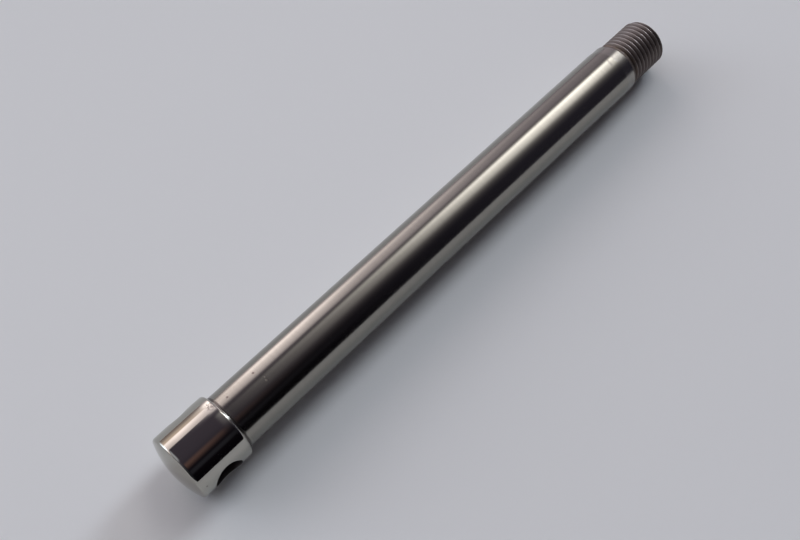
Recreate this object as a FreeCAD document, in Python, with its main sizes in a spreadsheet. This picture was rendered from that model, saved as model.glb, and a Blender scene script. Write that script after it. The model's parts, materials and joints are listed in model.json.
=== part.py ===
"""Headed wheel spindle: a one-piece stepped shaft, turned from steel bar.

From one end to the other the shaft has a short round head with a domed end and
a cross hole for a tommy bar, a long ground shank, a slightly relieved land, a
short taper and a threaded end with a chamfered tip, centre-drilled for the
lathe's tailstock.

The model's own frame has its origin where the shaft's axis meets the head's
seat, with X along the shaft towards the thread. The body's placement then lays
the shaft down as it rests: on the head's inner edge and the shank's far corner,
on the plane Z = 0, with X measured from the middle of its length.
"""

import FreeCAD, Part
import math
import os

import Sketcher
from FreeCAD import Vector

NODE = "wheel_spindle"

# Millimetres and degrees. The shank is the size that the rest steps up or down
# from, so the head always stops it and the thread always passes its bearings.
DIMENSIONS = {
    "shank_diameter": 15.2,
    "shank_length": 145.85,        # seat to the step down to the land
    "root_radius": 0.25,           # turned fillet between the seat and the shank
    "seat_width": 1.4,             # how far the head stands out round the shank
    "head_length": 14.25,          # straight side of the head, seat to dome edge
    "head_back_radius": 0.6,       # rounding between the seat and the side
    "head_front_radius": 0.8,      # rounding between the side and the dome
    "dome_height": 2.3,            # rise of the domed end over the straight side
    "bar_hole_diameter": 8.0,
    "bar_hole_setback": 7.35,      # seat to the cross hole's axis
    "bar_hole_break": 0.15,        # burr taken off both mouths
    "land_relief": 0.15,           # radial step from the shank down to the land
    "land_length": 3.2,
    "taper_length": 1.6,           # from the land down to the thread
    "thread_drop": 0.6,            # radial, shank to crests: leaves an M14 thread
    "thread_length": 13.3,
    "tip_chamfer": 0.8,
    "centre_mouth_diameter": 4.25,
    "centre_pilot_diameter": 2.0,
    "centre_pilot_length": 1.6,    # straight part, between the two cones
    "centre_angle": 60.0,          # included angle of the tailstock's cone
    "drill_angle": 120.0,          # included angle of the drill's point
    "rest_roll": 9.5,              # how far the cross hole has rolled from level
}

# Expressions on the sheet that more than one feature reads.
SHANK = "Dims.shank_diameter / 2"
HEAD = f"{SHANK} + Dims.seat_width"
LAND = f"{SHANK} - Dims.land_relief"
CRESTS = f"{SHANK} - Dims.thread_drop"
TIP = "Dims.shank_length + Dims.land_length + Dims.taper_length + Dims.thread_length"
CONE_DEPTH = (
    "(Dims.centre_mouth_diameter - Dims.centre_pilot_diameter)"
    " / 2 / tan(Dims.centre_angle / 2)"
)
POINT_DEPTH = "Dims.centre_pilot_diameter / 2 / tan(Dims.drill_angle / 2)"

START, END, CENTRE = 1, 2, 3       # the point numbers that Sketcher gives a curve
ORIGIN = (-1, 1)
X_AXIS, Y_AXIS = -1, -2


def make_sheet(doc):
    """Put every driving dimension in its own cell, under its name."""
    sheet = doc.addObject("Spreadsheet::Sheet", "Dims")
    for row, (name, value) in enumerate(DIMENSIONS.items(), start=1):
        sheet.set(f"A{row}", name)
        sheet.set(f"B{row}", str(value))
        sheet.setAlias(f"B{row}", name)
    doc.recompute()
    return sheet


def sketch_on(body, role, name):
    """An empty sketch attached to one of the body's own origin planes."""
    sketch = body.newObject("Sketcher::SketchObject", name)
    plane = next(p for p in body.Origin.OriginFeatures if p.Role == role)
    sketch.AttachmentSupport = [(plane, "")]
    sketch.MapMode = "FlatFace"
    return sketch


def line(sketch, start, end):
    """Draw a straight line and return its number."""
    return sketch.addGeometry(Part.LineSegment(Vector(*start, 0), Vector(*end, 0)))


def arc(sketch, centre, radius, first, last):
    """Draw an arc, anticlockwise between two angles in degrees; return its number."""
    circle = Part.Circle(Vector(*centre, 0), Vector(0, 0, 1), radius)
    ends = (math.radians(first), math.radians(last))
    return sketch.addGeometry(Part.ArcOfCircle(circle, *ends))


def relate(sketch, *rules):
    """Add constraints that carry no size."""
    for rule in rules:
        sketch.addConstraint(Sketcher.Constraint(*rule))


def size(sketch, name, expression, kind, *ends):
    """Fix a size at what is drawn, then bind it to the sheet."""
    if kind == "Radius":
        drawn = sketch.Geometry[ends[0]].Radius
    else:
        gap = sketch.getPoint(*ends[2:]) - sketch.getPoint(*ends[:2])
        drawn = gap.x if kind == "DistanceX" else gap.y
    index = sketch.addConstraint(Sketcher.Constraint(kind, *ends, drawn))
    sketch.renameConstraint(index, name)
    sketch.setExpression(f".Constraints.{name}", expression)


def draw_profile(sketch):
    """Draw half the shaft's section, from the dome's apex to the tip."""
    d = DIMENSIONS
    shank = d["shank_diameter"] / 2
    head = shank + d["seat_width"]
    land = shank - d["land_relief"]
    thread = shank - d["thread_drop"]
    root, back, front = d["root_radius"], d["head_back_radius"], d["head_front_radius"]
    face, rise = -d["head_length"], d["dome_height"]
    land_start = d["shank_length"]
    land_end = land_start + d["land_length"]
    thread_start = land_end + d["taper_length"]
    tip, chamfer = thread_start + d["thread_length"], d["tip_chamfer"]
    # The dome's radius follows from its rise and from meeting the rounding smoothly.
    dome = (rise**2 + (head - front) ** 2 - front**2) / (2 * (rise - front))
    joint = math.degrees(math.atan2(head - front, rise - dome))

    axis = line(sketch, (tip, 0), (face - rise, 0))
    end_dome = arc(sketch, (face - rise + dome, 0), dome, joint, 180)
    front_edge = arc(sketch, (face, head - front), front, 90, joint)
    side = line(sketch, (face, head), (-back, head))
    back_edge = arc(sketch, (-back, head - back), back, 0, 90)
    seat = line(sketch, (0, head - back), (0, shank + root))
    fillet = arc(sketch, (root, shank + root), root, 180, 270)
    ground = line(sketch, (root, shank), (land_start, shank))
    step = line(sketch, (land_start, shank), (land_start, land))
    relief = line(sketch, (land_start, land), (land_end, land))
    taper = line(sketch, (land_end, land), (thread_start, thread))
    crests = line(sketch, (thread_start, thread), (tip - chamfer, thread))
    bevel = line(sketch, (tip - chamfer, thread), (tip, thread - chamfer))
    end_face = line(sketch, (tip, thread - chamfer), (tip, 0))

    relate(
        sketch,
        ("PointOnObject", axis, START, X_AXIS),
        ("PointOnObject", axis, END, X_AXIS),
        ("Coincident", axis, END, end_dome, END),
        ("PointOnObject", end_dome, CENTRE, X_AXIS),
        ("Tangent", end_dome, START, front_edge, END),
        ("Tangent", front_edge, START, side, START),
        ("Horizontal", side),
        ("Tangent", side, END, back_edge, END),
        ("Tangent", back_edge, START, seat, START),
        ("PointOnObject", seat, START, Y_AXIS),
        ("PointOnObject", seat, END, Y_AXIS),
        ("Tangent", seat, END, fillet, START),
        ("Tangent", fillet, END, ground, START),
        ("Horizontal", ground),
        ("Coincident", ground, END, step, START),
        ("Vertical", step),
        ("Coincident", step, END, relief, START),
        ("Horizontal", relief),
        ("Coincident", relief, END, taper, START),
        ("Coincident", taper, END, crests, START),
        ("Horizontal", crests),
        ("Coincident", crests, END, bevel, START),
        ("Coincident", bevel, END, end_face, START),
        ("Vertical", end_face),
        ("Coincident", end_face, END, axis, START),
    )
    size(sketch, "head_radius", HEAD, "DistanceY", *ORIGIN, side, START)
    size(sketch, "head_length", "Dims.head_length", "DistanceX", side, START, *ORIGIN)
    size(sketch, "dome_height", "Dims.dome_height", "DistanceX", axis, END, side, START)
    size(sketch, "front_radius", "Dims.head_front_radius", "Radius", front_edge)
    size(sketch, "back_radius", "Dims.head_back_radius", "Radius", back_edge)
    size(sketch, "root_radius", "Dims.root_radius", "Radius", fillet)
    size(sketch, "shank_radius", SHANK, "DistanceY", *ORIGIN, ground, END)
    size(sketch, "shank_length", "Dims.shank_length", "DistanceX", *ORIGIN, ground, END)
    size(sketch, "land_radius", LAND, "DistanceY", *ORIGIN, relief, START)
    size(sketch, "land_length", "Dims.land_length", "DistanceX", relief, START, relief, END)
    size(sketch, "taper_length", "Dims.taper_length", "DistanceX", taper, START, taper, END)
    size(sketch, "crest_radius", CRESTS, "DistanceY", *ORIGIN, crests, START)
    size(sketch, "thread_length", "Dims.thread_length", "DistanceX", crests, START, bevel, END)
    size(sketch, "bevel_along", "Dims.tip_chamfer", "DistanceX", bevel, START, bevel, END)
    size(sketch, "bevel_down", "Dims.tip_chamfer", "DistanceY", bevel, END, bevel, START)


def turn_shaft(doc, body):
    """Revolve the half section round the shaft's axis."""
    profile = sketch_on(body, "XZ_Plane", "Profile")
    draw_profile(profile)
    turned = body.newObject("PartDesign::Revolution", "Turned")
    turned.Profile = profile
    turned.ReferenceAxis = (profile, ["H_Axis"])
    turned.Angle = 360
    doc.recompute()
    return turned


def draw_centre(sketch):
    """Draw half a centre drill's section, from the tip's face inwards."""
    d = DIMENSIONS
    tip = sum(d[f"{part}_length"] for part in ("shank", "land", "taper", "thread"))
    mouth, pilot = d["centre_mouth_diameter"] / 2, d["centre_pilot_diameter"] / 2
    cone_end = tip - (mouth - pilot) / math.tan(math.radians(d["centre_angle"] / 2))
    pilot_end = cone_end - d["centre_pilot_length"]
    point = pilot_end - pilot / math.tan(math.radians(d["drill_angle"] / 2))

    face = line(sketch, (tip, 0), (tip, mouth))
    cone = line(sketch, (tip, mouth), (cone_end, pilot))
    wall = line(sketch, (cone_end, pilot), (pilot_end, pilot))
    end_cone = line(sketch, (pilot_end, pilot), (point, 0))
    axis = line(sketch, (point, 0), (tip, 0))

    relate(
        sketch,
        ("Vertical", face),
        ("PointOnObject", face, START, X_AXIS),
        ("Coincident", face, END, cone, START),
        ("Coincident", cone, END, wall, START),
        ("Horizontal", wall),
        ("Coincident", wall, END, end_cone, START),
        ("Coincident", end_cone, END, axis, START),
        ("Coincident", axis, END, face, START),
        ("PointOnObject", axis, START, X_AXIS),
    )
    mouth_radius = "Dims.centre_mouth_diameter / 2"
    pilot_radius = "Dims.centre_pilot_diameter / 2"
    size(sketch, "tip", TIP, "DistanceX", *ORIGIN, face, END)
    size(sketch, "mouth_radius", mouth_radius, "DistanceY", *ORIGIN, face, END)
    size(sketch, "pilot_radius", pilot_radius, "DistanceY", *ORIGIN, cone, END)
    size(sketch, "cone_depth", CONE_DEPTH, "DistanceX", cone, END, cone, START)
    size(sketch, "pilot", "Dims.centre_pilot_length", "DistanceX", wall, END, wall, START)
    size(sketch, "point_depth", POINT_DEPTH, "DistanceX", axis, START, wall, END)


def drill_centre(doc, body):
    """Leave the tailstock's centre hole in the threaded end's face."""
    section = sketch_on(body, "XZ_Plane", "CentreSection")
    draw_centre(section)
    before = body.Shape.Volume
    centre = body.newObject("PartDesign::Groove", "CentreHole")
    centre.Profile = section
    centre.ReferenceAxis = (section, ["H_Axis"])
    centre.Angle = 360
    doc.recompute()
    if body.Shape.Volume >= before:
        raise RuntimeError("the centre hole cut nothing")


def drill_bar_hole(doc, body):
    """Drill the tommy-bar hole right through the head, square to its axis."""
    d = DIMENSIONS
    outline = sketch_on(body, "XZ_Plane", "BarHoleOutline")
    middle = Vector(-d["bar_hole_setback"], 0, 0)
    circle = outline.addGeometry(
        Part.Circle(middle, Vector(0, 0, 1), d["bar_hole_diameter"] / 2)
    )
    relate(outline, ("PointOnObject", circle, CENTRE, X_AXIS))
    size(outline, "setback", "Dims.bar_hole_setback", "DistanceX", circle, CENTRE, *ORIGIN)
    size(outline, "radius", "Dims.bar_hole_diameter / 2", "Radius", circle)
    before = body.Shape.Volume
    hole = body.newObject("PartDesign::Pocket", "BarHole")
    hole.Profile = outline
    hole.Type = "ThroughAll"
    hole.Midplane = True
    doc.recompute()
    if body.Shape.Volume >= before:
        raise RuntimeError("the cross hole cut nothing")
    return hole


def mouth_edges(shape):
    """Name the edges where the cross hole breaks out of the head's side."""
    d = DIMENSIONS
    head = d["shank_diameter"] / 2 + d["seat_width"]
    hole = d["bar_hole_diameter"] / 2
    names = []
    for number, edge in enumerate(shape.Edges, start=1):
        first, last = edge.FirstParameter, edge.LastParameter
        points = [edge.valueAt(at) for at in (first, (first + last) / 2, last)]
        on_head = all(abs(math.hypot(p.y, p.z) - head) < 1e-3 for p in points)
        across = [math.hypot(p.x + d["bar_hole_setback"], p.z) for p in points]
        if on_head and all(abs(radius - hole) < 1e-3 for radius in across):
            names.append(f"Edge{number}")
    return names


def break_mouths(doc, body, hole):
    """Take the burr off the cross hole's two mouths."""
    edges = mouth_edges(hole.Shape)
    if not edges:
        raise RuntimeError("the cross hole's mouths were not found")
    broken = body.newObject("PartDesign::Chamfer", "MouthBreak")
    broken.Base = (hole, edges)
    broken.setExpression("Size", "Dims.bar_hole_break")
    doc.recompute()


def lay_down(doc, body):
    """Place the shaft as it rests, on the head's inner edge and the shank's corner."""
    # The slope of the plane that touches the rounded edge and the sharp corner.
    rise = "(Dims.seat_width - Dims.head_back_radius)"
    run = "(Dims.shank_length + Dims.head_back_radius)"
    slope = f"(asin(Dims.head_back_radius / hypot({run}; {rise})) + atan({rise} / {run}))"
    middle = f"(Dims.head_length + Dims.dome_height - ({TIP})) / 2"
    height = (
        f"({HEAD} - Dims.head_back_radius) * cos({slope})"
        f" + Dims.head_back_radius * (1 - sin({slope}))"
    )
    body.setExpression(
        "Placement",
        f"placement(vector({middle}; 0; {height}); rotation(0; {slope}; Dims.rest_roll))",
    )
    doc.recompute()


def check(doc, body):
    """Stop if a feature failed or the body is not one sound solid."""
    for item in doc.Objects:
        if {"Invalid", "Error"} & set(item.State):
            raise RuntimeError(f"{item.Name}: {item.State}")
    shape = body.Shape
    if shape.isNull() or not shape.isValid() or len(shape.Solids) != 1:
        raise RuntimeError(f"{body.Label} is not one valid solid")


def main():
    """Build the spindle and write its solid."""
    doc = FreeCAD.newDocument("WheelSpindle")
    make_sheet(doc)
    body = doc.addObject("PartDesign::Body", "Spindle")
    body.Label = NODE
    turn_shaft(doc, body)
    drill_centre(doc, body)
    hole = drill_bar_hole(doc, body)
    break_mouths(doc, body, hole)
    lay_down(doc, body)
    check(doc, body)
    os.makedirs("parts", exist_ok=True)
    body.Shape.exportStep(f"parts/{body.Label}.step")
    box = body.Shape.optimalBoundingBox(True)
    print(f"{body.Label}: {body.Shape.Volume:.1f} mm3, {len(body.Shape.Faces)} faces, {box}")


main()
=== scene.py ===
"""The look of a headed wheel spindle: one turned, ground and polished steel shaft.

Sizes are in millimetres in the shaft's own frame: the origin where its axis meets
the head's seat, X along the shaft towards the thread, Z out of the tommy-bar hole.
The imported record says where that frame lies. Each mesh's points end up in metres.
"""

import json
import logging
import math
from collections.abc import Container, Iterable, Mapping, Sequence
from dataclasses import dataclass, field
from enum import Enum, IntEnum
from typing import Any

import bmesh
import bpy
from mathutils import Matrix, Vector


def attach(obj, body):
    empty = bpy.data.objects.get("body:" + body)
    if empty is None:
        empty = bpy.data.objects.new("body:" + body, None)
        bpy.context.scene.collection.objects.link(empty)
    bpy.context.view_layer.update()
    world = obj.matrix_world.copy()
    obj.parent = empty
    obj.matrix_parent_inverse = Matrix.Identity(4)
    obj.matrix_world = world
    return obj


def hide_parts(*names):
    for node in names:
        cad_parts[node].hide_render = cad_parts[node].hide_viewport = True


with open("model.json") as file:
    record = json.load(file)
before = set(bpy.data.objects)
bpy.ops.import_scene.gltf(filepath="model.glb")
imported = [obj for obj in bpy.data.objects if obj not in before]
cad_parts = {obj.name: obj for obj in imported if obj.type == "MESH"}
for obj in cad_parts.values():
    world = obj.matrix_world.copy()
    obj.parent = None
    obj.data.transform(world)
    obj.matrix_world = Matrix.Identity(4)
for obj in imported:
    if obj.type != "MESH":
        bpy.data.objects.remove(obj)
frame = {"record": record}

log = logging.getLogger("spindle")

MM = 0.001
COLUMNS = 192  # points round every ring, a multiple of four
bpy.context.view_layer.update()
Pair = tuple[float, float]
Colour = tuple[float, float, float]


class Finish(IntEnum):
    """What each surface of the shaft was last worked with; also its material's place."""

    POLISHED = 0
    GROUND = 1
    TURNED = 2
    THREADED = 3
    DRILLED = 4


class Hand(Enum):
    """Which way a thread winds, as the sign of its advance."""

    RIGHT = 1.0
    LEFT = -1.0


# ---------------------------------------------------------------- node trees


class Value:
    """A number on a node's socket that Python's operators act on."""

    def __init__(self, nodes: "Nodes", socket: bpy.types.NodeSocket) -> None:
        """Wrap one socket of a tree."""
        self.nodes = nodes
        self.socket = socket

    def math(self, operation: str, *others: "Value | float", first: bool = True) -> "Value":
        """Add one Math node.

        Args:
            operation: The Math node's operation.
            others: What goes into its other sockets.
            first: Whether this value goes in front of the others.

        Returns:
            The node's result.
        """
        terms = (self, *others) if first else (*others, self)
        made = self.nodes.add("ShaderNodeMath", dict(enumerate(terms)), operation=operation)
        return Value(self.nodes, made.outputs[0])

    def __add__(self, other: "Value | float") -> "Value":
        """Return the sum."""
        return self.math("ADD", other)

    __radd__ = __add__

    def __sub__(self, other: "Value | float") -> "Value":
        """Return the difference."""
        return self.math("SUBTRACT", other)

    def __rsub__(self, other: float) -> "Value":
        """Return the difference from a number."""
        return self.math("SUBTRACT", other, first=False)

    def __mul__(self, other: "Value | float") -> "Value":
        """Return the product."""
        return self.math("MULTIPLY", other)

    __rmul__ = __mul__

    def __truediv__(self, other: "Value | float") -> "Value":
        """Return the quotient."""
        return self.math("DIVIDE", other)

    def __abs__(self) -> "Value":
        """Return the size without the sign."""
        return self.math("ABSOLUTE")

    def least(self, other: "Value | float") -> "Value":
        """Return the smaller of the two."""
        return self.math("MINIMUM", other)

    def most(self, other: "Value | float") -> "Value":
        """Return the larger of the two."""
        return self.math("MAXIMUM", other)

    def fraction(self) -> "Value":
        """Return what is left over a whole number."""
        return self.math("FRACT")

    def step(self, low: "Value | float", high: "Value | float") -> "Value":
        """Rise smoothly from 0 at low to 1 at high, or fall if high is the lower.

        Args:
            low: Where the result is 0.
            high: Where the result is 1.

        Returns:
            The smooth step.
        """
        part = ((self - low) / (high - low)).most(0.0).least(1.0)
        return part * part * (3.0 - 2.0 * part)


class Nodes:
    """Adds nodes to one tree, shader or geometry."""

    def __init__(self, tree: bpy.types.NodeTree) -> None:
        """Start on an empty tree."""
        self.tree = tree
        tree.nodes.clear()

    def add(
        self, kind: str, sockets: Mapping[str | int, Any] | None = None, **settings: Any
    ) -> bpy.types.Node:
        """Make any node.

        Args:
            kind: The node's type.
            sockets: What its inputs get, by name or number: a value or a link.
            settings: Its properties, set first; "stops" are a colour ramp's stops.

        Returns:
            The node.
        """
        made = self.tree.nodes.new(kind)
        for name, setting in settings.items():
            if name == "stops":
                self._set_stops(made.color_ramp, setting)
            else:
                setattr(made, name, setting)
        for name, given in (sockets or {}).items():
            if isinstance(given, Value):
                given = given.socket
            if isinstance(given, bpy.types.NodeSocket):
                self.tree.links.new(given, made.inputs[name])
            else:
                made.inputs[name].default_value = given
        return made

    @staticmethod
    def _set_stops(ramp: bpy.types.ColorRamp, stops: Sequence[tuple[float, Colour]]) -> None:
        """Give a colour ramp its stops.

        Args:
            ramp: The ramp.
            stops: Its places and their colours, in order.
        """
        while len(ramp.elements) < len(stops):
            ramp.elements.new(1.0)
        for element, (place, colour) in zip(ramp.elements, stops):
            element.position = place
            element.color = (*colour, 1.0)

    def value(self, node: bpy.types.Node, output: str | int = 0) -> Value:
        """Wrap one output of a node as a number."""
        return Value(self, node.outputs[output])

    def split(self, vector: bpy.types.NodeSocket) -> tuple[Value, ...]:
        """Return a vector's three parts."""
        parts = self.add("ShaderNodeSeparateXYZ", {0: vector})
        return tuple(self.value(parts, axis) for axis in "XYZ")

    def vector(self, operation: str, *terms: Any) -> bpy.types.NodeSocket:
        """Add one Vector Math node and return its vector."""
        made = self.add("ShaderNodeVectorMath", dict(enumerate(terms)), operation=operation)
        return made.outputs[0]

    def blend(self, share: Value | float, low: Any, high: Any) -> bpy.types.NodeSocket:
        """Mix two colours.

        Args:
            share: How much of the second colour shows.
            low: The first colour or its socket.
            high: The second colour or its socket.

        Returns:
            The mixed colour's socket.
        """
        ends = [(*end, 1.0) if isinstance(end, tuple) else end for end in (low, high)]
        mixed = self.add("ShaderNodeMix", {0: share, 6: ends[0], 7: ends[1]}, data_type="RGBA")
        return mixed.outputs[2]


def add_object(name: str, data: bpy.types.ID) -> bpy.types.Object:
    """Put a new object in the scene.

    Args:
        name: What it is called.
        data: Its mesh or camera.

    Returns:
        The object.
    """
    made = bpy.data.objects.new(name, data)
    bpy.context.scene.collection.objects.link(made)
    return made


# ---------------------------------------------------------------- where the shaft lies


@dataclass(frozen=True)
class RestFrame:
    """The shaft's own frame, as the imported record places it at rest."""

    origin: Vector
    along: Vector
    bar: Vector

    @classmethod
    def from_record(cls, record: Mapping[str, Any], shank_length: float) -> "RestFrame":
        """Read the frame from the record's mounts.

        Args:
            record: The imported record.
            shank_length: Seat to the end of the shank, in millimetres.

        Returns:
            The frame.
        """
        mounts = {mount["name"]: mount for mount in record["mounts"]}
        along = Vector(mounts["shank"]["axis"]).normalized()
        bar = Vector(mounts["tommy_bar_hole"]["axis"])
        bar = (bar - along * bar.dot(along)).normalized()
        middle = Vector(mounts["shank"]["pos_m"])
        return cls(middle - along * (shank_length / 2 * MM), along, bar)

    def matrix(self) -> Matrix:
        """Return the move from the shaft's millimetres to the row's metres."""
        turned = Matrix((self.along, self.bar.cross(self.along), self.bar)).transposed()
        return Matrix.Translation(self.origin) @ turned.to_4x4() @ Matrix.Scale(MM, 4)

    def place(self, x: float, turn: float, radius: float) -> Vector:
        """Return a point on the shaft in the row's metres.

        Args:
            x: Millimetres from the seat.
            turn: Degrees round the axis from straight up, positive towards the hole.
            radius: Millimetres from the axis.

        Returns:
            The point.
        """
        up = self.along.cross(Vector((0, 1, 0))).normalized()
        up = up if up.z > 0 else -up
        side = self.bar - up * self.bar.dot(up)
        angle = math.radians(turn)
        out = up * math.cos(angle) + side.normalized() * math.sin(angle)
        return self.origin + (self.along * x + out * radius) * MM


# ---------------------------------------------------------------- the turned surface


@dataclass
class Skin:
    """A surface in the shaft's own frame, gathered face by face."""

    points: list[Vector] = field(default_factory=list)
    faces: list[tuple[int, ...]] = field(default_factory=list)
    finishes: list[Finish] = field(default_factory=list)

    def row(self, points: Iterable[Vector]) -> list[int]:
        """Keep a row of points.

        Args:
            points: The points, in order.

        Returns:
            Their numbers.
        """
        start = len(self.points)
        self.points.extend(points)
        return list(range(start, len(self.points)))

    def ring(self, x: float, radius: float) -> list[int]:
        """Keep one circle round the axis and return its points' numbers."""
        return self.row(on_axis(x, radius, 360.0 * k / COLUMNS) for k in range(COLUMNS))

    def strip(
        self,
        first: Sequence[int],
        second: Sequence[int],
        finish: Finish,
        gaps: Container[int] = (),
    ) -> None:
        """Join two rings of as many points with a strip of faces.

        Args:
            first: One ring's points.
            second: The other's.
            finish: The faces' finish.
            gaps: The columns that get no face.
        """
        count = len(first)
        for k in range(count):
            if k not in gaps:
                after = (k + 1) % count
                self.face((first[k], first[after], second[after], second[k]), finish)

    def fan(self, rim: Sequence[int], pole: Vector, finish: Finish) -> None:
        """Close a ring with triangles to one point on the axis.

        Args:
            rim: The ring's points.
            pole: The point on the axis.
            finish: The faces' finish.
        """
        centre = self.row([pole])[0]
        for k, corner in enumerate(rim):
            self.face((corner, rim[(k + 1) % len(rim)], centre), finish)

    def face(self, corners: tuple[int, ...], finish: Finish) -> None:
        """Keep one face."""
        self.faces.append(corners)
        self.finishes.append(finish)

    def turn(self, outline: Sequence[Pair], finish: Finish) -> None:
        """Sweep an outline round the axis, as (x, radius) pairs."""
        rings = [self.ring(x, radius) for x, radius in outline]
        self.join(rings, finish)

    def join(self, rings: Sequence[Sequence[int]], finish: Finish) -> None:
        """Join each ring to the next one."""
        for first, second in zip(rings, rings[1:]):
            self.strip(first, second, finish)

    def mesh(self, name: str) -> bpy.types.Mesh:
        """Turn the surface into a mesh, still in the shaft's own frame.

        Args:
            name: The mesh's name.

        Returns:
            The mesh.
        """
        made = bpy.data.meshes.new(name)
        made.from_pydata(self.points, [], self.faces)
        made.polygons.foreach_set("material_index", [int(f) for f in self.finishes])
        return made


def on_axis(x: float, radius: float, turn: float) -> Vector:
    """Return the point at that angle, in degrees, from the hole's direction."""
    angle = math.radians(turn)
    return Vector((x, radius * math.sin(angle), radius * math.cos(angle)))


def arc(centre: Pair, radius: float, first: float, last: float, steps: int) -> list[Pair]:
    """Return points on a circular arc.

    Args:
        centre: The arc's centre.
        radius: Its radius.
        first: The angle it starts at, in degrees.
        last: The angle it ends at.
        steps: How many equal steps it takes.

    Returns:
        The points, both ends among them.
    """
    turns = [math.radians(first + (last - first) * k / steps) for k in range(steps + 1)]
    return [(centre[0] + radius * math.cos(t), centre[1] + radius * math.sin(t)) for t in turns]


def spread(first: float, last: float, steps: int) -> list[float]:
    """Return evenly spaced numbers, both ends among them."""
    return [first + (last - first) * k / steps for k in range(steps + 1)]


@dataclass
class Head:
    """The round head: a domed end, a polished side and the tommy-bar hole across it."""

    diameter: float = 18.0
    length: float = 14.25
    dome_height: float = 2.3
    front_radius: float = 0.8
    back_radius: float = 0.6
    hole_diameter: float = 8.0
    hole_setback: float = 7.35
    mouth_break: float = 0.15
    roll_off: float = 0.045  # how far polishing has drawn the side in at its edges
    roll_off_length: float = 2.6
    apex_gap: float = 1.0  # degrees of the dome's arc that the closing fan spans
    dome_steps: int = 22
    edge_steps: int = 9  # along each rounding
    margin: float = 0.7  # between a mouth's patch and either end of the side
    margin_rows: int = 4
    patch_columns: int = 18  # half the columns that a mouth's patch takes
    patch_rows: int = 26
    patch_layers: int = 9  # from the patch's outline in to the mouth
    patch_ease: float = 0.8  # under 1, the layers are closer together near the mouth
    break_steps: int = 3
    wall_steps: int = 7  # from the break to the hole's middle

    def crown(self, x: float) -> float:
        """Return how far polishing has drawn the surface in at that place."""
        inside = min(-self.back_radius - x, self.length + x)
        return self.roll_off * (max(self.roll_off_length - inside, 0.0) / self.roll_off_length) ** 2

    def side_radius(self, x: float) -> float:
        """Return the straight side's radius at that place."""
        return self.diameter / 2 - self.crown(x)

    def dome(self) -> list[Pair]:
        """Work out the domed end and its rounding.

        Returns:
            The outline from beside the apex outwards.
        """
        radius, rise = self.diameter / 2, self.dome_height
        edge = self.front_radius
        reach = radius - edge
        ball = (rise**2 + reach**2 - edge**2) / (2 * (rise - edge))
        joint = math.degrees(math.atan2(reach, rise - ball))
        centre = (ball - self.length - rise, 0.0)
        crowned = arc(centre, ball, 180.0 - self.apex_gap, joint, self.dome_steps)
        rounding = arc((-self.length, reach), edge, joint, 90.0, self.edge_steps)
        brink = -self.length - edge / 2
        drawn_in = 1.0 - self.crown(brink) / radius
        return [(x, r * drawn_in) for x, r in crowned[:-1]] + [
            (x, r - self.crown(max(x, brink))) for x, r in rounding[:-1]
        ]

    def back(self) -> list[Pair]:
        """Return the rounding at the side's back edge, as far as the seat."""
        edge = self.back_radius
        rounding = arc((-edge, self.diameter / 2 - edge), edge, 90.0, 0.0, self.edge_steps)
        return [(x, r - self.crown(x)) for x, r in rounding]

    def build(self, skin: Skin) -> None:
        """Add the whole head, down to the back edge's rounding.

        Args:
            skin: What the surface is added to.
        """
        dome = self.dome()
        apex = Vector((-self.length - self.dome_height, 0, 0))
        skin.fan(skin.ring(*dome[0]), apex, Finish.POLISHED)
        skin.turn([*dome, (-self.length, self.side_radius(-self.length))], Finish.POLISHED)
        self._build_side(skin)
        skin.turn(self.back(), Finish.POLISHED)

    def _build_side(self, skin: Skin) -> None:
        """Add the side with both mouths, and the hole's wall between them.

        Args:
            skin: What the surface is added to.
        """
        front, back = -self.length, -self.back_radius
        low, high = front + self.margin, back - self.margin
        rows = [*spread(front, low, self.margin_rows)[:-1], *spread(low, high, self.patch_rows),
                *spread(high, back, self.margin_rows)[1:]]
        rings = [skin.ring(x, self.side_radius(x)) for x in rows]
        patch = range(self.margin_rows, self.margin_rows + self.patch_rows)
        reach = range(-self.patch_columns, self.patch_columns)
        mouths = {(middle + k) % COLUMNS for middle in (0, COLUMNS // 2) for k in reach}
        for i, (first, second) in enumerate(zip(rings, rings[1:])):
            skin.strip(first, second, Finish.POLISHED, mouths if i in patch else ())
        outline = self._patch_outline(low, high)
        for half_turn in (0.0, math.pi):
            self._build_mouth(skin, outline, Matrix.Rotation(half_turn, 3, "X"))

    def _patch_outline(self, low: float, high: float) -> list[Pair]:
        """Return (turn, x) pairs round a mouth's patch of the side."""
        turn = 360.0 / COLUMNS * self.patch_columns
        width, tall = 2 * self.patch_columns, self.patch_rows
        return [
            *((angle, low) for angle in spread(-turn, turn, width)[:-1]),
            *((turn, x) for x in spread(low, high, tall)[:-1]),
            *((angle, high) for angle in spread(turn, -turn, width)[:-1]),
            *((-turn, x) for x in spread(high, low, tall)[:-1]),
        ]

    def _build_mouth(self, skin: Skin, outline: Sequence[Pair], turned: Matrix) -> None:
        """Add one mouth's patch of the side, its broken edge and half the hole's wall.

        Args:
            skin: What the surface is added to.
            outline: The patch's outline, as (turn, x) pairs.
            turned: How far round the axis the mouth is.
        """
        columns = [[turned @ p for p in self._mouth_column(*place)] for place in outline]
        rings = [skin.row(ring) for ring in zip(*columns)]
        bright = self.patch_layers + self.break_steps
        skin.join(rings[:bright], Finish.POLISHED)
        skin.join(rings[bright - 1 :], Finish.DRILLED)

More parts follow.
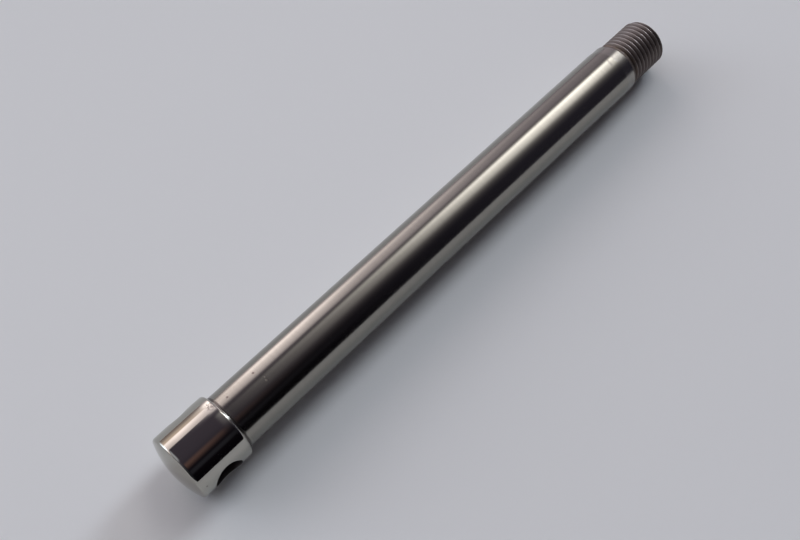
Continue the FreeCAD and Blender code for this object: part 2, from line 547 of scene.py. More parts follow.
    def _mouth_column(self, angle: float, x: float) -> list[Vector]:
        """Work out the points from one place on a patch's outline to the hole's middle.

        Args:
            angle: The place's angle from the hole's direction, in degrees.
            x: Its place along the shaft.

        Returns:
            The points, in order.
        """
        way = math.atan2(x + self.hole_setback, self.diameter / 2 * math.radians(angle))
        hole, chamfer = self.hole_diameter / 2, self.mouth_break
        rim = hole + chamfer
        rim_x = rim * math.sin(way) - self.hole_setback
        rim_angle = math.degrees(math.asin(rim * math.cos(way) / self.side_radius(rim_x)))
        column = []
        for part in spread(0.0, 1.0, self.patch_layers):
            share = part**self.patch_ease
            at = x + (rim_x - x) * share
            column.append(on_axis(at, self.side_radius(at), angle + (rim_angle - angle) * share))
        for lean in spread(0.0, math.pi / 2, self.break_steps)[1:]:
            radius = hole + chamfer * (1 - math.sin(lean))
            across, at = radius * math.cos(way), radius * math.sin(way) - self.hole_setback
            surface = math.sqrt(self.side_radius(at) ** 2 - across**2)
            column.append(Vector((at, across, surface - chamfer * (1 - math.cos(lean)))))
        bottom = column[-1]
        for share in spread(1.0, 0.0, self.wall_steps)[1:]:
            column.append(Vector((bottom.x, bottom.y, bottom.z * share)))
        return column


@dataclass
class Shank:
    """The seat, the ground shank and the relieved land before the thread."""

    diameter: float = 15.2
    length: float = 145.85
    root_radius: float = 0.25
    edge_break: float = 0.05  # the ground edge, softened
    land_diameter: float = 14.9
    land_length: float = 3.2
    guard: float = 0.02  # a narrow strip beside an edge keeps the shading even
    land_guard: float = 0.03
    steps: int = 48
    land_steps: int = 8
    root_steps: int = 6
    edge_steps: int = 3

    def build(self, skin: Skin, seat_radius: float) -> None:
        """Add the shank from the seat's rim to the land's end.

        Args:
            skin: What the surface is added to.
            seat_radius: The seat's outer radius.
        """
        radius, root = self.diameter / 2, self.root_radius
        skin.turn([(0.0, seat_radius), (0.0, (seat_radius + radius + root) / 2),
                   (0.0, radius + root)], Finish.TURNED)
        skin.turn(arc((root, radius + root), root, 180.0, 270.0, self.root_steps), Finish.TURNED)
        end, soft = self.length, self.edge_break
        ground = spread(root + self.guard, end - soft - self.guard, self.steps)
        skin.turn([(x, radius) for x in (root, *ground, end - soft)], Finish.GROUND)
        skin.turn(arc((end - soft, radius - soft), soft, 90.0, 0.0, self.edge_steps), Finish.GROUND)
        land, far = self.land_diameter / 2, self.land_end()
        skin.turn([(end, radius - soft), (end, land)], Finish.TURNED)
        relieved = spread(end, far - self.land_guard, self.land_steps)
        skin.turn([(x, land) for x in (*relieved, far)], Finish.TURNED)

    def land_end(self) -> float:
        """Return where the land stops and the taper to the thread starts."""
        return self.length + self.land_length


@dataclass
class Thread:
    """The taper and the threaded end; Geometry Nodes wind them from their sizes."""

    diameter: float = 14.0
    pitch: float = 1.5
    depth: float = 0.92  # crest to root
    length: float = 13.3  # past the taper
    tip_chamfer: float = 0.8
    taper_length: float = 1.6  # from the land down to the thread's outside
    lead_in: float = 0.72  # where the first crest starts to wind
    run_out: float = 1.9  # over which the grooves reach their depth
    run_in: float = 0.2  # the share of that before they start
    root_flat: float = 0.125  # the shares of half a pitch that are flat at the root
    flank: float = 0.75  # and on the flank; the crest has the rest
    spare: float = 1.0  # turns past either end, gathered on that end's ring
    rows_per_turn: int = 16
    merge: float = 0.0005  # points nearer than this are one
    hand: Hand = Hand.RIGHT

    SIZES = ("Start", "Neck Radius", "Taper", "Crest Radius", "Pitch", "Depth", "Length",
             "Chamfer", "Lead-in", "Run-out", "Hand")
    COUNTS = ("Columns", "Rows")

    def whole(self) -> float:
        """Return the length of the taper and the thread together."""
        return self.taper_length + self.length

    def tree(self) -> bpy.types.GeometryNodeTree:
        """Build the tree that winds the thread.

        A flat grid is sheared by one pitch, so that its rows follow the helix, then
        rolled into a sleeve. Each point's radius is the blank's, less whatever the
        groove takes there, and the rows past either end gather on that end's ring.

        Returns:
            The tree, with a named input for each size.
        """
        tree = bpy.data.node_groups.new("helical_thread", "GeometryNodeTree")
        nodes = Nodes(tree)
        kinds = {"Geometry": "Geometry", "Steel": "Material"}
        kinds |= dict.fromkeys(self.SIZES, "Float") | dict.fromkeys(self.COUNTS, "Int")
        for name, kind in kinds.items():
            tree.interface.new_socket(name, in_out="INPUT", socket_type=f"NodeSocket{kind}")
        tree.interface.new_socket("Geometry", in_out="OUTPUT", socket_type="NodeSocketGeometry")
        given = nodes.add("NodeGroupInput")
        start, neck, taper, crest, pitch, depth, length, chamfer, lead_in, run_out, hand = (
            nodes.value(given, name) for name in self.SIZES
        )
        flat = nodes.add(
            "GeometryNodeMeshGrid",
            {"Size X": 1.0, "Size Y": 1.0, "Vertices X": given.outputs["Rows"],
             "Vertices Y": given.outputs["Columns"]},
        )
        row, column, _ = nodes.split(nodes.add("GeometryNodeInputPosition").outputs[0])
        down, turn = row + 0.5, column + 0.5
        angle = turn * math.tau
        lead = turn * hand
        whole = taper + length
        spare = pitch * self.spare
        wound = down * (whole + spare * 2.0) - spare + (lead - 0.5 * hand) * pitch
        inside = wound.most(0.0).least(whole)
        phase = ((inside - lead_in) / pitch - lead).fraction()
        from_root = abs(phase - 0.5) * 2.0
        groove = crest - depth + ((from_root - self.root_flat) / self.flank).most(0.0) * depth
        narrowed = crest + (neck - crest) * (1.0 - inside / taper).most(0.0)
        blank = narrowed.least(crest - chamfer + (whole - inside))
        begun = inside.step(run_out * self.run_in, run_out)
        radius = blank - (blank - groove).most(0.0) * begun
        point = nodes.add(
            "ShaderNodeCombineXYZ",
            {0: inside + start, 1: radius * angle.math("SINE"), 2: radius * angle.math("COSINE")},
        )
        moved = nodes.add("GeometryNodeSetPosition",
                          {"Geometry": flat.outputs["Mesh"], "Position": point.outputs[0]})
        merged = nodes.add("GeometryNodeMergeByDistance",
                           {"Geometry": moved.outputs[0], "Distance": self.merge})
        real = nodes.add("GeometryNodeRealizeInstances", {"Geometry": merged.outputs[0]})
        clad = nodes.add("GeometryNodeSetMaterial",
                         {"Geometry": real.outputs[0], "Material": given.outputs["Steel"]})
        nodes.add("NodeGroupOutput", {"Geometry": clad.outputs[0]})
        return tree

    def mesh(self, start: float, neck: float, steel: bpy.types.Material) -> bpy.types.Mesh:
        """Wind the thread and return it as a plain mesh in the shaft's own frame.

        Args:
            start: Where the taper starts, in millimetres from the seat.
            neck: The land's radius there.
            steel: The material that it is cut in.

        Returns:
            The sleeve of the thread, open at both ends.
        """
        tree = self.tree()
        blank = add_object("thread_blank", bpy.data.meshes.new("thread_blank"))
        winder = blank.modifiers.new("thread", "NODES")
        winder.node_group = tree
        turns = self.whole() / self.pitch + 2.0 * self.spare
        rows = round(turns * self.rows_per_turn) + 1
        sizes = (start, neck, self.taper_length, self.diameter / 2, self.pitch, self.depth,
                 self.length, self.tip_chamfer, self.lead_in, self.run_out, self.hand.value)
        inputs = dict(zip(self.SIZES, sizes)) | dict(zip(self.COUNTS, (COLUMNS + 1, rows)))
        inputs["Steel"] = steel
        for item in tree.interface.items_tree:
            if item.in_out == "INPUT" and item.name in inputs:
                winder[item.identifier] = inputs[item.name]
        bpy.context.view_layer.update()
        seen = blank.evaluated_get(bpy.context.evaluated_depsgraph_get())
        made = bpy.data.meshes.new_from_object(seen)
        bpy.data.objects.remove(blank)
        return made


@dataclass
class CentreHole:
    """The tailstock's centre hole in the tip's flat face."""

    mouth_diameter: float = 4.25
    pilot_diameter: float = 2.0
    pilot_length: float = 1.6
    cone_angle: float = 60.0
    drill_angle: float = 120.0
    lip: float = 0.05  # a narrow strip inside the mouth
    face_radius: float = 6.0  # about as far as the face goes, for the ring half way to it

    def build(self, skin: Skin, tip: float, rim: Sequence[Vector]) -> None:
        """Add the tip's face and the hole in it.

        Args:
            skin: What the surface is added to.
            tip: Where the face is, in millimetres from the seat.
            rim: The thread's last ring, in the order of the columns.
        """
        mouth, pilot = self.mouth_diameter / 2, self.pilot_diameter / 2
        slope = math.tan(math.radians(self.cone_angle / 2))
        cone_end = tip - (mouth - pilot) / slope
        wall_end = cone_end - self.pilot_length
        point = wall_end - pilot / math.tan(math.radians(self.drill_angle / 2))
        middle = skin.ring(tip, (mouth + self.face_radius) / 2)
        edge = skin.ring(tip, mouth)
        skin.join([skin.row(rim), middle, edge], Finish.TURNED)
        lip = skin.ring(tip - self.lip, mouth - self.lip * slope)
        end = skin.ring(wall_end, pilot)
        skin.join([edge, lip, skin.ring(cone_end, pilot), end], Finish.DRILLED)
        skin.fan(end, Vector((point, 0, 0)), Finish.DRILLED)


# ---------------------------------------------------------------- finishes


@dataclass(frozen=True)
class Mark:
    """A small blemish at one place on the surface."""

    x: float  # millimetres from the seat
    turn: float  # degrees from straight up, towards the hole
    size: float  # the blemish's own radius
    depth: float = 1.0  # how dark it is, from 0 to 1
    outer: float = 1.35  # where it has faded out, in its own radii
    inner: float = 0.45  # where it is whole


@dataclass(frozen=True)
class Grain:
    """How quickly a noise varies for each millimetre along the shaft and across it."""

    along: float
    across: float
    detail: float = 2.0
    finer: float = 0.55  # how strong each finer layer is against the last


@dataclass(frozen=True)
class WearAndShade:
    """What a kind of wear does where it shows; the painted shade at the shank's root is given the same
    way.
    """

    colour: Colour
    rough: float  # what it adds to the roughness
    strength: float = 1.0  # how much of it shows at most


class Steel:
    """What every finish of the same bar shares: its coordinates and its shader."""

    def __init__(self, name: str, rest: RestFrame) -> None:
        """Start a material whose nodes read the shaft's own frame.

        Args:
            name: The material's name.
            rest: Where the shaft lies.
        """
        self.rest = rest
        self.material = bpy.data.materials.new(name)
        self.material.use_nodes = True
        self.nodes = Nodes(self.material.node_tree)
        back = rest.matrix().inverted()
        self.row_place = self.nodes.add("ShaderNodeTexCoord").outputs["Object"]
        shaft = self.nodes.add(
            "ShaderNodeMapping",
            {
                "Vector": self.row_place,
                "Location": back.to_translation(),
                "Rotation": back.to_3x3().normalized().to_euler(),
                "Scale": (1 / MM, 1 / MM, 1 / MM),
            },
        )
        self.place = shaft.outputs[0]
        self.x, self.y, self.z = self.nodes.split(self.place)

    def noise(self, grain: Grain) -> Value:
        """Add noise between 0 and 1.

        Args:
            grain: How quickly it varies.

        Returns:
            The noise.
        """
        rates = (grain.along, grain.across, grain.across)
        scaled = self.nodes.vector("MULTIPLY", self.place, rates)
        made = self.nodes.add(
            "ShaderNodeTexNoise",
            {"Vector": scaled, "Scale": 1.0, "Detail": grain.detail, "Roughness": grain.finer},
        )
        return self.nodes.value(made)

    def spots(self, marks: Sequence[Mark], radius: float) -> Value:
        """Work out how much of any of these blemishes shows at a point.

        Args:
            marks: The blemishes, one at least.
            radius: The surface's own radius.

        Returns:
            The share that shows.
        """
        shown: Value | None = None
        for mark in marks:
            centre = self.rest.place(mark.x, mark.turn, radius)
            away = self.nodes.add("ShaderNodeVectorMath", {0: self.row_place, 1: tuple(centre)},
                                  operation="DISTANCE")
            outer, inner = (mark.size * part * MM for part in (mark.outer, mark.inner))
            spot = self.nodes.value(away, "Value").step(outer, inner) * mark.depth
            shown = spot if shown is None else shown.most(spot)
        return shown

    def finish(
        self, colour: bpy.types.NodeSocket, roughness: Value, height: Value, relief: float
    ) -> bpy.types.Material:
        """Close the material with its shader.

        Args:
            colour: The metal's colour.
            roughness: How rough it is.
            height: Its relief, between about 0 and 1.
            relief: How deep that is, in millimetres.

        Returns:
            The material.
        """
        raised = self.nodes.add(
            "ShaderNodeBump",
            {"Strength": 1.0, "Distance": relief * MM, "Height": height},
        )
        shader = self.nodes.add(
            "ShaderNodeBsdfPrincipled",
            {"Base Color": colour, "Metallic": 1.0, "Roughness": roughness,
             "Normal": raised.outputs[0]},
        )
        self.nodes.add("ShaderNodeOutputMaterial", {"Surface": shader.outputs[0]})
        return self.material


@dataclass(frozen=True)
class PolishedSteel:
    """The head: buffed bright, with a scuffed spot at its back edge and faint wear."""

    radius: float
    colour: Colour = (0.425, 0.413, 0.372)
    worn: WearAndShade = WearAndShade((0.22, 0.20, 0.185), 0.25)
    roughness: float = 0.05
    haze: Grain = Grain(0.25, 0.25, 3.0)
    haze_rough: float = 0.03
    lines: Grain = Grain(9.0, 0.5)
    line_height: float = 0.5
    wear_depth: float = 2.0  # against the buffing lines' height
    relief: float = 0.0008
    scratches: Grain = Grain(2.6, 2.6, 4.0)
    scratched: Pair = (0.46, 0.56)  # the noise from which scratches show, and show whole
    scuff: Mark = Mark(-1.1, -17.0, 1.2)
    marks: tuple[Mark, ...] = (Mark(-13.3, 75.0, 0.22), Mark(-13.6, -30.0, 0.16))

    def material(self, rest: RestFrame) -> bpy.types.Material:
        """Build the finish.

        Args:
            rest: Where the shaft lies.

        Returns:
            The material.
        """
        steel = Steel("polished_steel", rest)
        scuffed = steel.spots([self.scuff], self.radius)
        scuffed = scuffed * steel.noise(self.scratches).step(*self.scratched)
        worn = steel.spots(self.marks, self.radius).most(scuffed)
        colour = steel.nodes.blend(worn, self.colour, self.worn.colour)
        hazy = self.roughness + steel.noise(self.haze) * self.haze_rough
        height = steel.noise(self.lines) * self.line_height - worn * self.wear_depth
        return steel.finish(colour, hazy + worn * self.worn.rough, height, self.relief)


@dataclass(frozen=True)
class GroundSteel:
    """The shank: ground across its axis, with rust pits, a rub mark and painted shade at its root
    beside the seat.
    """

    radius: float
    length: float
    colour: Colour = (0.305, 0.294, 0.262)
    streak: WearAndShade = WearAndShade((0.254, 0.244, 0.217), 0.06, 0.6)
    streak_share: float = 0.3  # how much of the streaks' colour there is on average
    rub: WearAndShade = WearAndShade((0.17, 0.155, 0.15), 0.12, 0.35)
    # painted shade: a near-black band in the corner where the shank meets the head's seat
    seat_shade: WearAndShade = WearAndShade((0.075, 0.066, 0.064), 0.2, 0.85)
    pit: WearAndShade = WearAndShade((0.21, 0.185, 0.165), 0.3)
    roughness: float = 0.13
    fine: Grain = Grain(14.0, 0.22)
    broad: Grain = Grain(1.1, 0.10, 3.0)
    haze: Grain = Grain(0.06, 0.12)
    haze_rough: float = 0.03
    patches: Grain = Grain(0.8, 0.8, 3.0)
    pit_depth: float = 6.0  # against the grinding lines' height
    relief: float = 0.0016
    seat_shade_ends: Pair = (1.0, 0.6)  # millimetres from the seat where the painted shade ends, and is whole
    seat_shade_ragged: float = 0.5  # how far the painted shade's edge wanders
    rub_setback: float = 1.95  # from the shank's end
    rub_edges: Pair = (0.5, 0.15)  # millimetres from its line where it ends, and is whole
    rub_lean: float = 0.25  # how far it leans for each millimetre across
    rub_ragged: float = 0.6
    rub_side: float = -0.6  # where its middle is, towards the hole
    rub_reach: Pair = (1.7, 0.9)  # how far it reaches from there, and is whole
    marks: tuple[Mark, ...] = (
        Mark(3.2, -14.3, 0.34),
        Mark(11.4, -15.8, 0.36),
        Mark(12.3, 11.4, 0.30),
        Mark(12.6, 5.0, 0.20, 0.7),
    )

    def material(self, rest: RestFrame) -> bpy.types.Material:
        """Build the finish.

        Args:
            rest: Where the shaft lies.

        Returns:
            The material.
        """
        steel = Steel("ground_steel", rest)
        nodes = steel.nodes
        streaks = steel.noise(self.broad) - 0.5
        ragged = steel.noise(self.patches) - 0.5
        line = steel.x + steel.z * self.rub_lean - (self.length - self.rub_setback)
        rubbed = abs(line + ragged * self.rub_ragged).step(*self.rub_edges)
        rubbed = rubbed * abs(steel.z - self.rub_side).step(*self.rub_reach)
        # the painted shade at the root, fading out about a millimetre from the seat
        seat_shaded = (steel.x + ragged * self.seat_shade_ragged).step(*self.seat_shade_ends)
        pitted = steel.spots(self.marks, self.radius)
        share = streaks * self.streak.strength + self.streak_share
        colour = nodes.blend(share, self.colour, self.streak.colour)
        rough = self.roughness + streaks * self.streak.rough
        rough = rough + steel.noise(self.haze) * self.haze_rough
        for shown, wear_and_shade in ((rubbed, self.rub), (seat_shaded, self.seat_shade), (pitted, self.pit)):
            shown = shown * wear_and_shade.strength
            colour = nodes.blend(shown, colour, wear_and_shade.colour)
            rough = rough + shown * wear_and_shade.rough
        height = steel.noise(self.fine) - pitted * self.pit_depth
        return steel.finish(colour, rough, height, self.relief)


@dataclass(frozen=True)
class TurnedSteel:
    """The seat, land and end face: fine tool marks, duller than the shank."""

    colour: Colour = (0.375, 0.36, 0.322)
    dull: Colour = (0.25, 0.24, 0.227)
    roughness: float = 0.21
    uneven: float = 0.12
    broad: Grain = Grain(2.0, 0.3, 3.0)
    feed: float = 0.12  # millimetres that the tool moved on in each turn
    feed_height: float = 0.5
    relief: float = 0.002

    def material(self, rest: RestFrame) -> bpy.types.Material:
        """Build the finish.

        Args:
            rest: Where the shaft lies.

        Returns:
            The material.
        """
        steel = Steel("turned_steel", rest)
        grooves = (steel.x * (math.tau / self.feed)).math("SINE")
        broad = steel.noise(self.broad)
        colour = steel.nodes.blend(broad, self.colour, self.dull)
        rough = self.roughness + (broad - 0.5) * self.uneven
        return steel.finish(colour, rough, grooves * self.feed_height + broad, self.relief)


@dataclass(frozen=True)
class ThreadedSteel:
    """The thread: rubbed crests over stained flanks, and the taper that it starts on, in painted shade.
    """

    radius: float  # of the crests
    depth: float  # from there to the root
    start: float  # where the taper starts
    crest_colour: Colour = (0.236, 0.206, 0.194)
    flank_colour: Colour = (0.198, 0.166, 0.154)
    root_colour: Colour = (0.172, 0.142, 0.134)
    # near black: painted shade on the taper, which hides the window's reflection there
    rust_colour: Colour = (0.20, 0.145, 0.085)
    taper_shade_colour: Colour = (0.085, 0.068, 0.06)
    roughness: float = 0.56
    rubbed_smooth: float = 0.22  # how much less rough the crests are
    uneven: float = 0.15
    stain: Grain = Grain(0.9, 0.9, 4.0)
    grit: Grain = Grain(6.0, 1.5)
    relief: float = 0.004
    rub_over: Pair = (-0.16, -0.03)  # past the crests' radius, where rubbing starts, is whole
    rub_past: Pair = (0.8, 2.2)  # and past the start
    stained_rub: Pair = (0.6, 0.5)  # how much rubbing shows with no stain, and what it adds
    flank_under: float = 0.35  # how far under the crests the root's colour starts
    taper_shade_over: Pair = (0.02, 0.2)  # past the crests' radius, where the taper's painted shade shows
    taper_shade_strength: float = 0.9
    rust_length: float = 3.5
    rust_stain: Pair = (0.35, 0.6)  # the stain from which rust shows, and shows whole
    rust_strength: float = 0.8

    def material(self, rest: RestFrame) -> bpy.types.Material:
        """Build the finish.

        Args:
            rest: Where the shaft lies.

        Returns:
            The material.
        """
        steel = Steel("threaded_steel", rest)
        nodes = steel.nodes
        over = (steel.y * steel.y + steel.z * steel.z).math("SQRT") - self.radius
        past = steel.x - self.start
        stain = steel.noise(self.stain)
        least, added = self.stained_rub
        rubbed = over.step(*self.rub_over) * past.step(*self.rub_past)
        rubbed = rubbed * (stain * added + least).least(1.0)
        rusty = past.step(self.rust_length, 0.0) * stain.step(*self.rust_stain)
        colour = nodes.blend(
            over.step(-self.flank_under, -self.depth), self.flank_colour, self.root_colour
        )
        for shown, added_colour in (
            (rubbed, self.crest_colour),
            (rusty * self.rust_strength, self.rust_colour),
            (over.step(*self.taper_shade_over) * self.taper_shade_strength, self.taper_shade_colour),
        ):
            colour = nodes.blend(shown, colour, added_colour)
        rough = self.roughness - rubbed * self.rubbed_smooth + (stain - 0.5) * self.uneven
        return steel.finish(colour, rough, steel.noise(self.grit), self.relief)


@dataclass(frozen=True)
class DrilledSteelInPaintedShade:
    """The walls of the drilled holes, with the drill's rings: their near-black colour is painted shade
    inside the holes.
    """

    # near black: painted shade inside the tommy-bar hole and the centre hole
    colour: Colour = (0.085, 0.072, 0.072)
    ring_colour: Colour = (0.05, 0.042, 0.042)
    roughness: float = 0.42
    uneven: float = 0.1
    rings: Grain = Grain(0.4, 4.0)
    relief: float = 0.006

    def material(self, rest: RestFrame) -> bpy.types.Material:
        """Build the finish.

        Args:
            rest: Where the shaft lies.

        Returns:
            The material.
        """
        steel = Steel("drilled_steel_in_painted_shade", rest)
        rings = steel.noise(self.rings)
        colour = steel.nodes.blend(rings, self.colour, self.ring_colour)
        rough = self.roughness + (rings - 0.5) * self.uneven
        return steel.finish(colour, rough, rings, self.relief)


# ---------------------------------------------------------------- the whole piece


@dataclass
class Spindle:
    """The whole shaft, one closed piece."""

    head: Head = field(default_factory=Head)
    shank: Shank = field(default_factory=Shank)
    thread: Thread = field(default_factory=Thread)
    centre: CentreHole = field(default_factory=CentreHole)
    crease: float = 36.0  # degrees past which an edge stays sharp
    weld: float = 0.002  # points nearer than this are one
    sliver: float = 1e-5  # edges shorter than this are dissolved
    touch: float = 1e-4  # points this near the tip are on it

    def finishes(self, rest: RestFrame) -> list[bpy.types.Material]:
        """Build the materials.

        Args:
            rest: Where the shaft lies.

        Returns:
            The materials, in the order of Finish.
        """
        shank, thread = self.shank, self.thread
        made = {
            Finish.POLISHED: PolishedSteel(self.head.diameter / 2),
            Finish.GROUND: GroundSteel(shank.diameter / 2, shank.length),
            Finish.TURNED: TurnedSteel(),
            Finish.THREADED: ThreadedSteel(thread.diameter / 2, thread.depth, shank.land_end()),
            Finish.DRILLED: DrilledSteelInPaintedShade(),
        }
        return [made[finish].material(rest) for finish in Finish]

    def build(self, rest: RestFrame) -> None:
        """Make the shaft's mesh, dress it and hand it to the frame.

        Args:
            rest: Where the shaft lies.
        """
        steels = self.finishes(rest)
        start = self.shank.land_end()
        tip = start + self.thread.whole()
        helix = self.thread.mesh(start, self.shank.land_diameter / 2, steels[Finish.THREADED])
        skin = Skin()
        self.head.build(skin)
        self.shank.build(skin, self.head.back()[-1][1])
        self.centre.build(skin, tip, self._rim(helix, tip))
        mesh = self._weld(skin.mesh("spindle"), helix)
        mesh.transform(rest.matrix())
        for steel in steels:
            mesh.materials.append(steel)
        mesh.shade_smooth()
        mesh.set_sharp_from_angle(angle=math.radians(self.crease))
        piece = add_object("spindle", mesh)
        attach(piece, "root")
        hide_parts("wheel_spindle")
        log.info("%s: %d faces", piece.name, len(mesh.polygons))

    def _rim(self, helix: bpy.types.Mesh, tip: float) -> list[Vector]:
        """Return the thread's last ring in the order of the columns."""
        last = [v.co.copy() for v in helix.vertices if tip - v.co.x < self.touch]
        return sorted(last, key=lambda co: math.atan2(co.y, co.z) % math.tau)

    def _weld(self, body: bpy.types.Mesh, helix: bpy.types.Mesh) -> bpy.types.Mesh:
        """Join the turned surface and the thread into one closed mesh.

        Args:
            body: The turned surface.
            helix: The thread.

        Returns:
            The mesh of both.
        """
        whole = bmesh.new()
        whole.from_mesh(body)
        known = len(whole.faces)
        whole.from_mesh(helix)
        whole.faces.ensure_lookup_table()
        for face in whole.faces[known:]:
            face.material_index = Finish.THREADED
        bmesh.ops.remove_doubles(whole, verts=whole.verts, dist=self.weld)
        bmesh.ops.dissolve_degenerate(whole, dist=self.sliver, edges=whole.edges)
        bmesh.ops.recalc_face_normals(whole, faces=whole.faces)
        open_edges = sum(len(edge.link_faces) != 2 for edge in whole.edges)
        if open_edges:
            log.warning("the spindle's surface has %d open edges", open_edges)
        made = bpy.data.meshes.new("spindle")
        whole.to_mesh(made)
        whole.free()
        return made


# ---------------------------------------------------------------- the studio


@dataclass(frozen=True)
class Paper:
    """The pale paper that the shaft lies on, with painted shade that deepens its tone to the near side,
    where the room's light falls off.
    """

    half_width: float = 1.5
    colour: Colour = (0.82, 0.84, 0.835)
    # the colour of the painted shade on the near side
    near_shade: Colour = (0.76, 0.78, 0.78)
    lit_at: float = 0.10  # metres across the shaft where the painted light leaves it palest
    near_shade_at: float = -0.26  # and where the painted shade is deepest
    fibres: float = 900.0  # their noise's rate, for each metre
    fibre_detail: float = 3.0
    fibre_share: float = 0.10
    roughness: float = 0.9
    gloss: float = 0.2

    def build(self) -> None:
        """Lay the paper."""
        half = self.half_width
        mesh = bpy.data.meshes.new("paper")
        corners = [(-half, -half, 0), (half, -half, 0), (half, half, 0), (-half, half, 0)]
        mesh.from_pydata(corners, [], [(0, 1, 2, 3)])
        material = bpy.data.materials.new("paper")
        material.use_nodes = True
        nodes = Nodes(material.node_tree)
        where = nodes.add("ShaderNodeTexCoord").outputs["Object"]
        across = nodes.split(where)[1]
        noise = nodes.add("ShaderNodeTexNoise",
                          {"Vector": where, "Scale": self.fibres, "Detail": self.fibre_detail})
        # painted light falloff: palest on the far side, painted shade on the near side, with the
        # paper's fibres on top
        falloff_and_fibres = across.step(self.lit_at, self.near_shade_at) + nodes.value(noise) * self.fibre_share
        shader = nodes.add("ShaderNodeBsdfPrincipled",
                           {"Base Color": nodes.blend(falloff_and_fibres, self.colour, self.near_shade),
                            "Roughness": self.roughness, "Specular IOR Level": self.gloss})
        nodes.add("ShaderNodeOutputMaterial", {"Surface": shader.outputs[0]})
        mesh.materials.append(material)
        add_object("paper", mesh)


@dataclass(frozen=True)
class Window:
    """A soft-edged light in the room, by its turn round the shaft and its slant along it.

    The turn is in degrees from straight up, positive to the near side. The slant is
    the cosine of the angle to the shaft's line, positive beyond the thread.
    """

    colour: Colour
    strength: float
    turns: tuple[Pair, ...]  # how bright it is at each turn
    slants: tuple[Pair, ...]  # how bright it is at each slant
    skew: float = 0.0  # degrees that it turns for each unit of slant
    pivot: float = 0.3  # the slant where the skew leaves it in place

    def light(self, nodes: Nodes, turn: Value, slant: Value) -> bpy.types.NodeSocket:
        """Return the light that it gives towards each direction.

        Args:
            nodes: The world's nodes.
            turn: The direction's turn.
            slant: The direction's slant.

        Returns:
            The light's colour.
        """
        if self.skew:
            turn = turn - (slant - self.pivot) * self.skew
        round_it = self._ramp(nodes, turn, self.turns, 360.0)
        along_it = self._ramp(nodes, slant, self.slants, 2.0)
        amount = round_it * along_it * self.strength
        scaled = nodes.add("ShaderNodeVectorMath", {0: self.colour, "Scale": amount},
                           operation="SCALE")
        return scaled.outputs[0]

    @staticmethod
    def _ramp(nodes: Nodes, place: Value, stops: Sequence[Pair], span: float) -> Value:
        """Look a level up on a colour ramp.

        Args:
            nodes: The world's nodes.
            place: Where to read it.
            stops: The levels at some places.
            span: How much room all places take, half of it on either side of zero.

        Returns:
            The level.
        """
        greys = [(at / span + 0.5, (level,) * 3) for at, level in stops]
        made = nodes.add("ShaderNodeValToRGB", {0: place / span + 0.5}, stops=greys)
        return nodes.value(made)


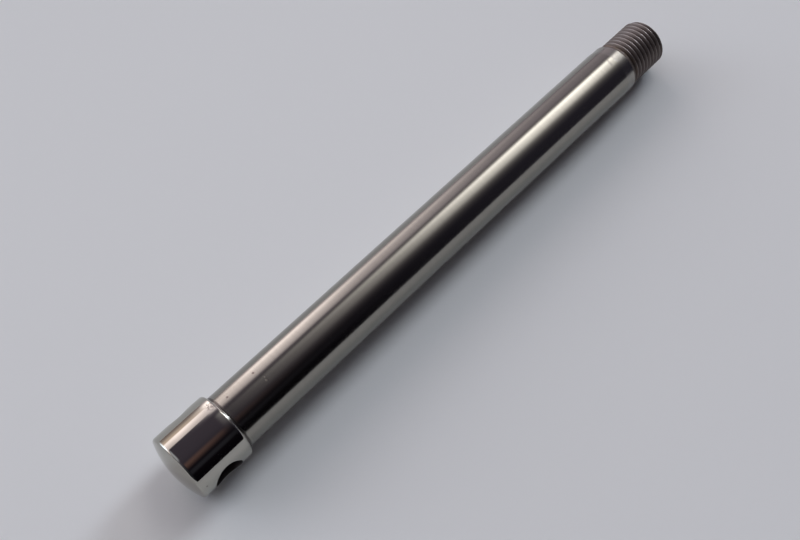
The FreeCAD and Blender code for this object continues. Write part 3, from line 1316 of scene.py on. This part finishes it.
@dataclass(frozen=True)
class Room:
    """A dim room: a pale wall behind, a window to one side and a brighter one beyond."""

    dim: Colour = (0.0034, 0.0024, 0.0042)
    windows: tuple[Window, ...] = (
        # the side window's part over the head, which the head catches
        Window((1.0, 0.88, 0.87), 2.5,
               turns=((-66, 0), (-63.5, 0.9), (-62, 1), (-58, 0.94), (-54, 0.78), (-50, 0.66),
                      (-45, 0.55), (-41, 0.47), (-39.5, 0.04), (-38, 0)),
               slants=((-0.95, 0), (-0.8, 0.6), (-0.3, 0.8), (0.1, 0.84), (0.13, 1), (0.16, 0.5),
                       (0.19, 0))),
        # the curtain beside it
        Window((1.0, 0.80, 0.65), 1.0,
               turns=((-100, 0.2), (-84, 0.28), (-78, 0.54), (-71, 0.86), (-67, 1), (-65, 0.9),
                      (-63, 0)),
               slants=((-0.95, 0), (-0.8, 0.7), (-0.6, 0.9), (-0.3, 1), (0.13, 1), (0.16, 0.5),
                       (0.19, 0))),
        # the window's part towards the thread, which the shank catches
        Window((1.0, 0.90, 0.89), 2.85,
               turns=((-101, 0.04), (-92, 0.1), (-88, 0.19), (-84, 0.42), (-80, 0.84), (-76, 1),
                      (-71, 0.95), (-66, 0.75), (-61, 0.6), (-54, 0.49), (-46, 0.38), (-38, 0.24),
                      (-34, 0.06), (-31, 0)),
               slants=((0.14, 0), (0.165, 0.35), (0.185, 0.85), (0.2, 1), (0.24, 1), (0.285, 0.95),
                       (0.345, 0.47), (0.405, 0.46), (0.465, 0.27), (0.525, 0.145), (0.585, 0.09),
                       (0.68, 0.08), (0.8, 0.5), (0.9, 0.55), (0.96, 0))),
        # the wall that it is in
        Window((1.0, 0.90, 1.04), 0.30,
               turns=((-104, 1), (-44, 1), (-34, 0.45), (-24, 0)),
               slants=((0.138, 0), (0.17, 0.7), (0.25, 1), (0.46, 1), (0.6, 0.8), (0.9, 0.75),
                       (0.96, 0))),
        # the window beyond the thread, as the shaft catches it
        Window((1.0, 0.98, 0.96), 4.6,
               turns=((-33, 0), (-30, 0.04), (-26, 0.16), (-22, 0.53), (-19, 0.95), (-15, 1),
                      (-12, 0.9), (-8, 0.73), (0, 0.55), (8, 0.41), (14, 0.26), (19, 0.13), (26, 0.05),
                      (36, 0.012), (50, 0)),
               slants=((0.185, 0), (0.205, 0.036), (0.225, 0.056), (0.285, 0.09), (0.345, 0.178),
                       (0.405, 0.27), (0.465, 0.6), (0.525, 0.77), (0.585, 1), (0.62, 1.04), (0.72, 0)),
               skew=-10.0),
        # a faint glow under it
        Window((0.72, 0.68, 1.0), 0.045,
               turns=((20, 0), (38, 1), (90, 1)),
               slants=((0.25, 0), (0.4, 0.4), (0.55, 1), (1, 1))),
        # and the open sky, lower down past it
        Window((0.90, 0.99, 1.12), 13.0,
               turns=((-30, 0), (-20, 0.9), (-12, 1), (0, 1), (8, 0.15), (16, 0)),
               slants=((0.77, 0), (0.84, 0.95), (0.87, 1), (0.92, 1), (0.96, 0))),
        # the ceiling
        Window((1.0, 0.84, 1.12), 0.076,
               turns=((-134, 1), (-24, 1), (6, 0.9), (16, 0.78), (24, 0.56), (32, 0.32), (40, 0.15),
                      (48, 0.07), (62, 0.03), (76, 0)),
               slants=((-1, 1), (1, 1))),
        # and where it is lit, over the head's end
        Window((0.92, 0.98, 1.05), 0.48,
               turns=((-46, 0), (-30, 1), (-4, 1), (9, 0)),
               slants=((-0.9, 0), (-0.75, 1), (-0.15, 1), (0.04, 0))),
        # a warm lamp and a cool screen, both faint
        Window((1.0, 0.52, 0.36), 0.11,
               turns=((19, 0), (23, 0.5), (27, 1), (31, 1), (35, 0.6), (40, 0.2), (44, 0)),
               slants=((-0.1, 0), (0.03, 1), (0.13, 1), (0.17, 0.35), (0.22, 0))),
        Window((0.75, 0.80, 1.0), 0.026,
               turns=((46, 0), (52, 1), (58, 1), (64, 0)),
               slants=((-0.1, 0), (0.03, 1), (0.14, 1), (0.3, 0.3), (0.4, 0))),
        # the plain end walls, the far one in shade on its near side
        Window((0.95, 0.97, 1.0), 0.42,
               turns=((-180, 1), (180, 1)),
               slants=((-0.96, 1), (-0.86, 0))),
        Window((0.95, 0.97, 1.0), 0.42,
               turns=((-20, 1), (12, 0.25), (40, 0.08)),
               slants=((0.89, 0), (0.96, 1))),
        # the pale wall behind
        Window((0.82, 0.97, 1.16), 2.3,
               turns=((-124, 1), (-64, 1), (-52, 0.3), (-44, 0.02), (86, 0.01)),
               slants=((-1, 0), (-0.82, 0), (-0.68, 1), (-0.45, 1), (-0.3, 0.3), (-0.1, 0.1),
                       (0.05, 0))),
    )

    def build(self) -> None:
        """Make the world's shader."""
        world = bpy.data.worlds.new("room")
        bpy.context.scene.world = world
        world.use_nodes = True
        nodes = Nodes(world.node_tree)
        way = nodes.add("ShaderNodeTexCoord").outputs["Generated"]
        slant, far, up = nodes.split(way)
        turn = (far * -1.0).math("ARCTAN2", up) * math.degrees(1.0)
        light: Any = self.dim
        for window in self.windows:
            light = nodes.vector("ADD", light, window.light(nodes, turn, slant))
        shone = nodes.add("ShaderNodeBackground", {"Color": light, "Strength": 1.0})
        nodes.add("ShaderNodeOutputWorld", {"Surface": shone.outputs[0]})


@dataclass(frozen=True)
class Viewpoint:
    """The camera: over the head's end and a little in front, looking along the shaft."""

    eye: tuple[float, float, float] = (-0.10995, -0.0913, 0.2310)
    look: tuple[float, float, float] = (0.36557, 0.35033, -0.86259)
    level: tuple[float, float, float] = (0.6811, -0.7321, -0.0065)
    lens: float = 45.74
    sensor: float = 36.0
    clip: Pair = (0.01, 20.0)

    def build(self) -> None:
        """Set up the camera and make it the scene's own."""
        back = -Vector(self.look).normalized()
        right = Vector(self.level)
        right = (right - back * right.dot(back)).normalized()
        camera = bpy.data.cameras.new("viewpoint")
        camera.lens = self.lens
        camera.sensor_width = self.sensor
        camera.clip_start, camera.clip_end = self.clip
        stand = add_object("viewpoint", camera)
        turned = Matrix((right, back.cross(right), back)).transposed()
        stand.matrix_world = Matrix.Translation(Vector(self.eye)) @ turned.to_4x4()
        bpy.context.scene.camera = stand


def main() -> None:
    """Build the shaft and the studio in order."""
    logging.basicConfig(level=logging.INFO, format="%(name)s: %(message)s")
    settings = bpy.context.scene.view_settings
    settings.view_transform = "Standard"
    Viewpoint().build()
    spindle = Spindle()
    rest = RestFrame.from_record(frame["record"], spindle.shank.length)
    spindle.build(rest)
    Paper().build()
    Room().build()


if __name__ == "__main__":
    main()
